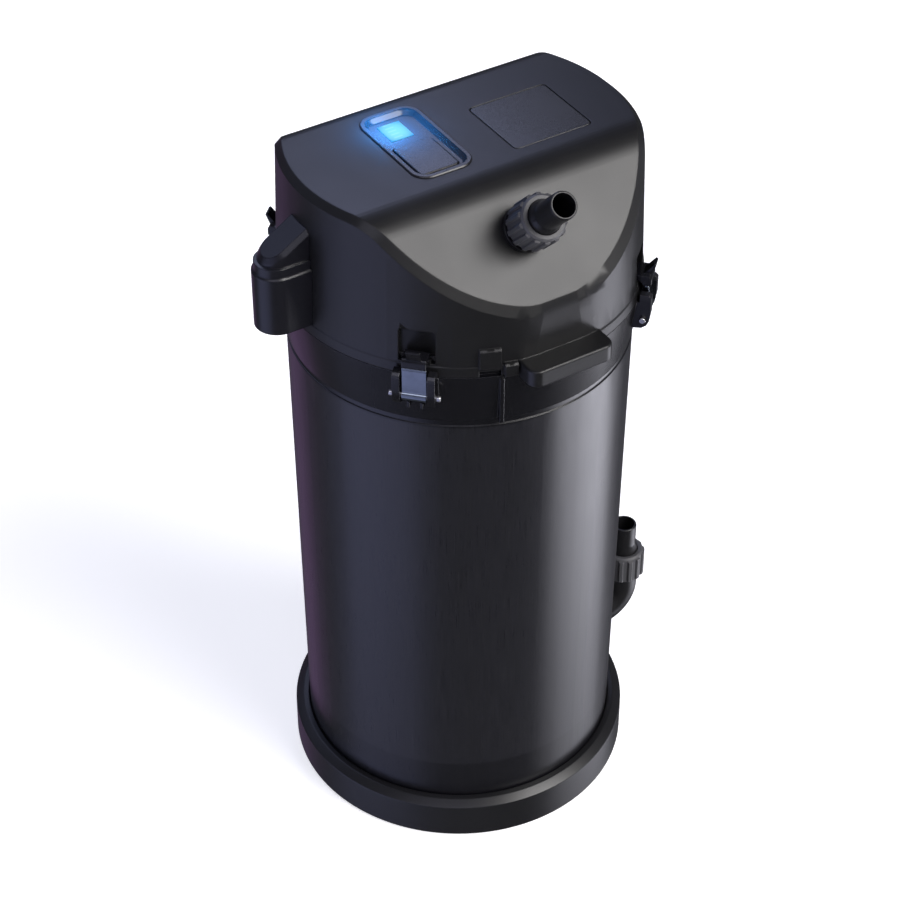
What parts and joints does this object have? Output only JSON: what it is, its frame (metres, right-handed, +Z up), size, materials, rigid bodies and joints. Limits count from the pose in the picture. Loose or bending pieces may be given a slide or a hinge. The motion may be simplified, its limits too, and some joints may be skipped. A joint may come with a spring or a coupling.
{
  "type": "canister filter",
  "caption": "Tall round aquarium canister filter with a sloped clip-on pump head, lit display tray, ribbed hose unions at top and side, and a wide foot ring.",
  "frame": {"origin": "centre of the foot ring's underside", "axes": "+Z up along the canister, -Y towards the sloped outlet face and the grip, +X towards the inlet elbow"},
  "size_m": [0.2182, 0.1774, 0.376],
  "materials": {
    "base": "satin",
    "canister": "satin smoky moulding",
    "grid": "matt",
    "ceramic": "unglazed ceramic",
    "coarse_foam": "open-cell foam",
    "granulate": "sintered granulate",
    "fine_fleece": "fleece",
    "head": "fine texture, satin",
    "inner_plastic": "satin",
    "seal": "soft",
    "steel": "bright",
    "magnet": "ground",
    "core": "laminated",
    "copper": "enamelled winding",
    "tray": "satin gloss",
    "display": "lit window",
    "board": "coated board",
    "panel": "satin gloss",
    "pod": "satin",
    "nozzle": "satin",
    "nut": "moulded grey",
    "chrome": "polished",
    "latch_black": "gloss"
  },
  "bodies": {
    "filter_body": {"base_ring": "base", "canister": "canister", "bottom_grid": "grid", "top_grid": "grid", "ceramic_rings": "ceramic", "coarse_pad": "coarse_foam", "bio_media": "granulate", "fine_pad": "fine_fleece", "head_shell": "head", "head_base": "inner_plastic", "head_seal": "seal", "head_screws": "steel", "impeller_cover": "inner_plastic", "shaft_bushes": "seal", "rotor_shaft": "ceramic", "stator_core": "core", "stator_coils": "copper", "control_tray": "tray", "display_lens": "display", "display_board": "board", "control_board": "board", "top_panel": "panel", "cable_pod": "pod", "cable_gland": "seal", "outlet_socket": "nozzle", "outlet_seal": "seal", "outlet_nozzle": "nozzle", "inlet_elbow": "nozzle", "elbow_seal": "seal", "inlet_seal": "seal", "inlet_nozzle": "nozzle", "latch_pin_1": "steel", "latch_pin_2": "steel", "latch_pin_3": "steel", "latch_pin_4": "steel"},
    "rotor": {"rotor_magnet": "magnet", "impeller": "inner_plastic"},
    "outlet_ring": {"outlet_nut": "nut"},
    "inlet_ring": {"inlet_nut": "nut"},
    "key": {"control_key": "tray"},
    "latch_1": {"latch_plate_1": "chrome", "latch_hook_1": "latch_black"},
    "latch_2": {"latch_plate_2": "chrome", "latch_hook_2": "latch_black"},
    "latch_3": {"latch_plate_3": "chrome", "latch_hook_3": "latch_black"},
    "latch_4": {"latch_plate_4": "chrome", "latch_hook_4": "latch_black"}
  },
  "joints": [
    {"name": "impeller_spin", "type": "hinge", "parent": "filter_body", "child": "rotor", "pos_m": [0, 0.022, 0.313], "axis": [0, 0, 1], "continuous": true},
    {"name": "outlet_nut_turn", "type": "hinge", "parent": "filter_body", "child": "outlet_ring", "pos_m": [-0.0025, -0.06652, 0.35348], "axis": [0, -0.7059, 0.7083], "continuous": true},
    {"name": "inlet_nut_turn", "type": "hinge", "parent": "filter_body", "child": "inlet_ring", "pos_m": [0.102, 0, 0.0643], "axis": [0, 0, 1], "continuous": true},
    {"name": "key_press", "type": "slide", "parent": "filter_body", "child": "key", "axis": [0, 0, -1], "range_m": [0, 0.0008], "stiffness_N_per_m": 600},
    {"name": "latch_1_swing", "type": "hinge", "parent": "filter_body", "child": "latch_1", "pos_m": [-0.06116, -0.06116, 0.2805], "axis": [0.7071, -0.7071, 0], "range_deg": [0, 110]},
    {"name": "latch_2_swing", "type": "hinge", "parent": "filter_body", "child": "latch_2", "pos_m": [0.06116, -0.06116, 0.2805], "axis": [0.7071, 0.7071, 0], "range_deg": [0, 110]},
    {"name": "latch_3_swing", "type": "hinge", "parent": "filter_body", "child": "latch_3", "pos_m": [0.06116, 0.06116, 0.2805], "axis": [-0.7071, 0.7071, 0], "range_deg": [0, 110]},
    {"name": "latch_4_swing", "type": "hinge", "parent": "filter_body", "child": "latch_4", "pos_m": [-0.06116, 0.06116, 0.2805], "axis": [-0.7071, -0.7071, 0], "range_deg": [0, 110]}
  ]
}
